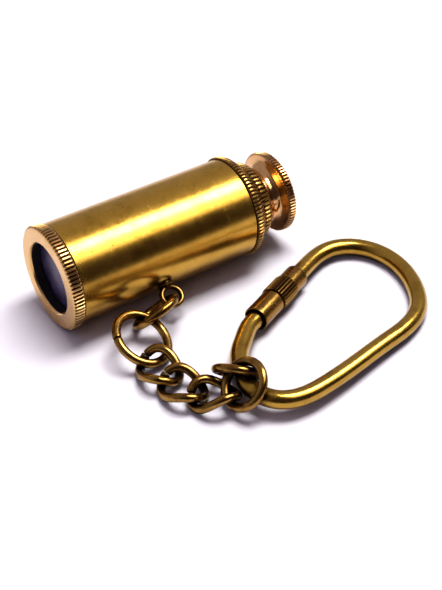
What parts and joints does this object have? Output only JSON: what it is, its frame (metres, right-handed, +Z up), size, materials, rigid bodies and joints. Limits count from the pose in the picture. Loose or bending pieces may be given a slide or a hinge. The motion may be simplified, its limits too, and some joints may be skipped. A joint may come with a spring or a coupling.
{
  "type": "key ring kaleidoscope",
  "caption": "Small brass kaleidoscope with a knurled turning front cell and an eyepiece, on a curb chain with a screw-sleeve shackle.",
  "frame": {"origin": "centre of the bounding box in plan, on the ground the barrel lies on", "axes": "+X along the barrel's axis from the window to the eyepiece, +Z up, the chain and shackle lie on the -Y side"},
  "size_m": [0.0664, 0.0588, 0.0209],
  "materials": {
    "barrel_brass": "brushed, worn, with an olive tint",
    "bezel_brass": "polished face, knurled rim",
    "collar_brass": "knurled, dark between the teeth",
    "eyepiece_brass": "bright polish with a copper tint",
    "chain_brass": "drawn wire, polished, slightly dull",
    "shackle_brass": "drawn wire, polished, slightly dull",
    "lock_brass": "turned and knurled",
    "window_glass": "slightly hazy",
    "clear_glass": "clear",
    "mirror_face": "silvered",
    "dark_card": "matt dark card",
    "spacer_black": "matt black",
    "red_glass": "coloured, clear",
    "blue_glass": "coloured, clear",
    "amber_glass": "coloured, clear",
    "green_glass": "coloured, clear"
  },
  "bodies": {
    "barrel": {"barrel": "barrel_brass", "mirror_sleeve": "dark_card", "mirror_a": "mirror_face", "mirror_b": "mirror_face", "mirror_c": "mirror_face", "sight_disc": "dark_card", "rear_collar": "collar_brass", "eyepiece_ring": "collar_brass", "eyepiece": "eyepiece_brass", "eye_lens": "clear_glass", "lug": "chain_brass"},
    "object_cell": {"front_bezel": "bezel_brass", "front_glass": "window_glass", "cell_spacer": "spacer_black", "inner_glass": "clear_glass", "cell_retainer": "spacer_black", "chips_red": "red_glass", "chips_blue": "blue_glass", "chips_amber": "amber_glass", "chips_green": "green_glass"},
    "lug_ring": {"lug_ring": "chain_brass"},
    "large_ring": {"large_ring": "chain_brass"},
    "curb_link_1": {"curb_link_1": "chain_brass"},
    "curb_link_2": {"curb_link_2": "chain_brass"},
    "curb_link_3": {"curb_link_3": "chain_brass"},
    "end_ring": {"end_ring": "chain_brass"},
    "shackle_ring": {"shackle_ring": "chain_brass"},
    "shackle": {"shackle": "shackle_brass"},
    "lock_bushing": {"lock_bushing": "lock_brass"},
    "lock_sleeve": {"lock_sleeve": "lock_brass"}
  },
  "joints": [
    {"name": "cell_turn", "type": "hinge", "parent": "barrel", "child": "object_cell", "pos_m": [-0.02824, 0.01899, 0.01046], "axis": [1, 0, 0], "continuous": true},
    {"name": "lug_ring_swing", "type": "hinge", "parent": "barrel", "child": "lug_ring", "pos_m": [-0.01468, 0.00669, 0.00387], "axis": [-0.6088, 0.7032, 0.3674], "range_deg": [-36, 54]},
    {"name": "large_ring_swing", "type": "hinge", "parent": "lug_ring", "child": "large_ring", "pos_m": [-0.0208, 0.00556, 0.00473], "axis": [0.724, -0.4869, -0.4886], "range_deg": [-54, 54]},
    {"name": "curb_link_1_swing", "type": "hinge", "parent": "large_ring", "child": "curb_link_1", "pos_m": [-0.0263, -0.00355, 0.00251], "axis": [-0.9267, 0.0237, 0.375], "range_deg": [-45, 48]},
    {"name": "curb_link_2_swing", "type": "hinge", "parent": "curb_link_1", "child": "curb_link_2", "pos_m": [-0.02562, -0.01029, 0.00259], "axis": [0.9267, -0.0237, -0.375], "range_deg": [-18, 54]},
    {"name": "curb_link_3_swing", "type": "hinge", "parent": "curb_link_2", "child": "curb_link_3", "pos_m": [-0.02339, -0.01683, 0.00243], "axis": [-0.7873, -0.2649, 0.5568], "range_deg": [-54, 0]},
    {"name": "end_ring_swing", "type": "hinge", "parent": "curb_link_3", "child": "end_ring", "pos_m": [-0.01783, -0.01739, 0.0033], "axis": [-0.4087, -0.7401, -0.5341], "range_deg": [-6, 33]},
    {"name": "shackle_ring_swing", "type": "hinge", "parent": "end_ring", "child": "shackle_ring", "pos_m": [-0.01463, -0.01989, 0.00662], "axis": [0.724, -0.4869, -0.4886], "range_deg": [0, 27]},
    {"name": "shackle_swing", "type": "hinge", "parent": "shackle_ring", "child": "shackle", "pos_m": [-0.01474, -0.01998, 0.00358], "axis": [-0.4419, -0.8848, 0.1477], "range_deg": [-21, 0]},
    {"name": "lock_slide", "type": "slide", "parent": "shackle", "child": "lock_bushing", "axis": [0.9082, 0.417, -0.0345], "range_m": [0, 0.003]},
    {"name": "lock_turn", "type": "hinge", "parent": "lock_bushing", "child": "lock_sleeve", "pos_m": [-0.00295, -0.00571, 0.00323], "axis": [0.9082, 0.417, -0.0345], "continuous": true}
  ]
}
